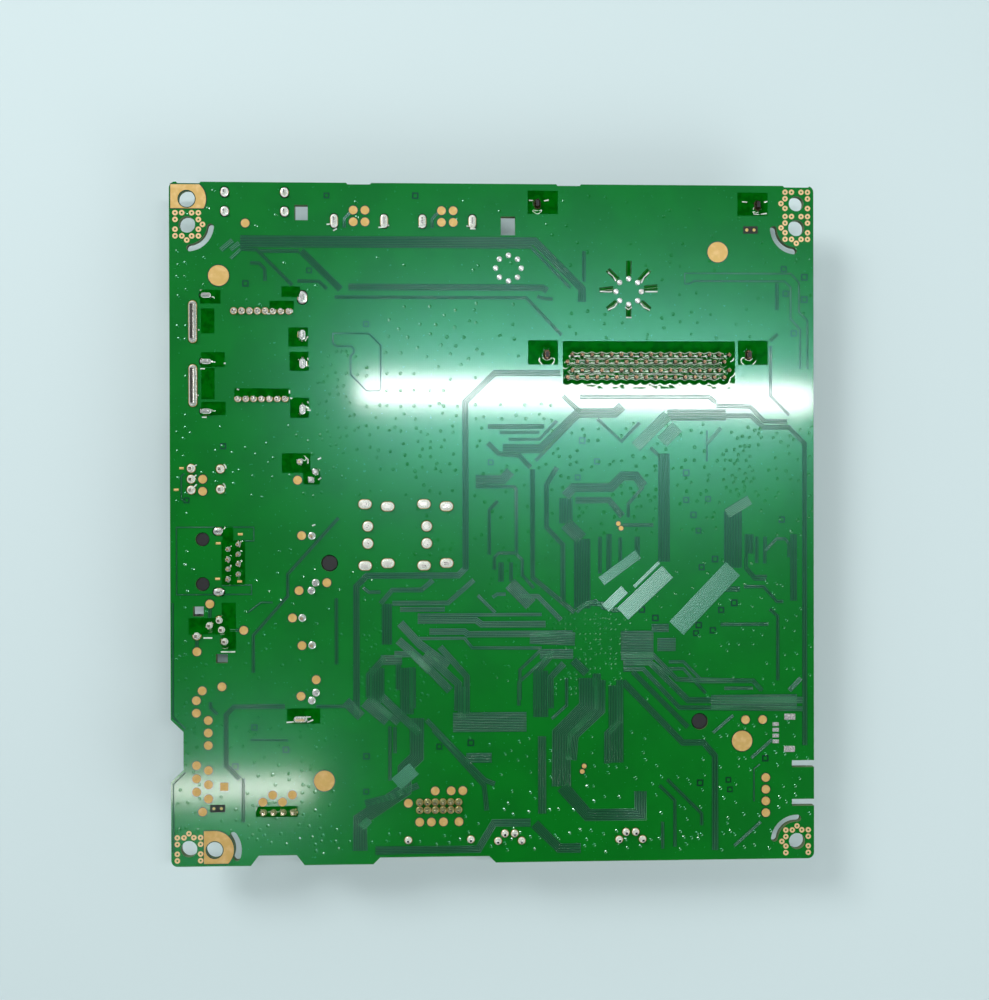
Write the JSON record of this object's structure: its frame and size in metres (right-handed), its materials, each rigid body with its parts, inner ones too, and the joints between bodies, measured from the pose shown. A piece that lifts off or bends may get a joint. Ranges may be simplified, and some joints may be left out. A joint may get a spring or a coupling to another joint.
{
  "type": "tv main board",
  "caption": "Green television main board lying solder side up on its connectors, tuners and heat sink, with card slot, network, data and video sockets.",
  "frame": {"origin": "on the surface that the board lies on, below the middle of the board", "axes": "+X right and +Y up across the solder side, towards the edge with the card slot, +Z out of the solder side"},
  "size_m": [0.166, 0.175, 0.0165],
  "materials": {
    "solder_mask": "semi-gloss green solder mask over glass-fibre laminate",
    "masked_copper": "copper tracks under green solder mask",
    "flux_gloss": "dried flux film, glossy, over green mask",
    "bare_gold": "bare copper with a protective gold-coloured finish",
    "black_ink": "black printed ink",
    "black_moulding": "moulded black plastic, fine texture",
    "ivory_moulding": "moulded ivory plastic",
    "shell_steel": "tin-plated pressed steel",
    "tuner_steel": "tin-plated steel sheet, slightly dull",
    "nickel_plating": "nickel-plated turned brass",
    "solder": "bright solder with a faint grain",
    "pin_tin": "tinned brass pins",
    "contact_gold": "gold-flashed contacts",
    "copper_wire": "enamelled copper wire",
    "ferrite": "dark grey ferrite",
    "black_anodising": "black anodised aluminium",
    "gap_pad": "soft grey thermal pad",
    "chip_epoxy": "black moulded epoxy packages",
    "can_aluminium": "aluminium capacitor cans",
    "spring_bronze": "tinned spring bronze",
    "chip_ceramic": "sintered ceramic chip parts"
  },
  "bodies": {
    "root": {"board": "solder_mask", "ground_pads": "bare_gold", "screw_vias": "bare_gold", "test_pads": "bare_gold", "tracks_upper": "masked_copper", "tracks_lower": "masked_copper", "flux_film": "flux_gloss", "jumper_patches": "black_ink", "card_guide": "black_moulding", "card_cover": "shell_steel", "card_header": "black_moulding", "card_pins": "contact_gold", "card_solder": "solder", "tuner_1_can": "tuner_steel", "tuner_1_socket": "nickel_plating", "tuner_1_insulator": "ivory_moulding", "tuner_1_pins": "pin_tin", "tuner_2_can": "tuner_steel", "tuner_2_socket": "nickel_plating", "tuner_2_insulator": "ivory_moulding", "tuner_2_pins": "pin_tin", "tuner_solder": "solder", "lan_housing": "black_moulding", "lan_shield": "shell_steel", "lan_contacts": "contact_gold", "lan_solder": "solder", "lan_transformer": "chip_epoxy", "usb_1_shell": "shell_steel", "usb_1_tongue": "ivory_moulding", "usb_2_shell": "shell_steel", "usb_2_tongue": "ivory_moulding", "usb_contacts": "contact_gold", "video_shell": "shell_steel", "video_tongue": "black_moulding", "socket_solder": "solder", "headphone_jack": "black_moulding", "audio_jack": "black_moulding", "av_jack": "black_moulding", "jack_terminals": "pin_tin", "jack_solder": "solder", "coil_cores": "ferrite", "coil_windings": "copper_wire", "coil_solder": "solder", "speaker_header": "ivory_moulding", "power_header": "ivory_moulding", "header_pins": "pin_tin", "header_solder": "solder", "ribbon_housings": "ivory_moulding", "ribbon_shells": "shell_steel", "heat_sink": "black_anodising", "thermal_pad": "gap_pad", "processor": "chip_epoxy", "memory_chips": "chip_epoxy", "amplifier": "chip_epoxy", "capacitors": "can_aluminium", "chip_coils": "ferrite", "support_posts": "black_moulding", "ground_clips": "spring_bronze", "ground_solder": "solder", "chip_parts": "chip_ceramic"}
  },
  "joints": []
}
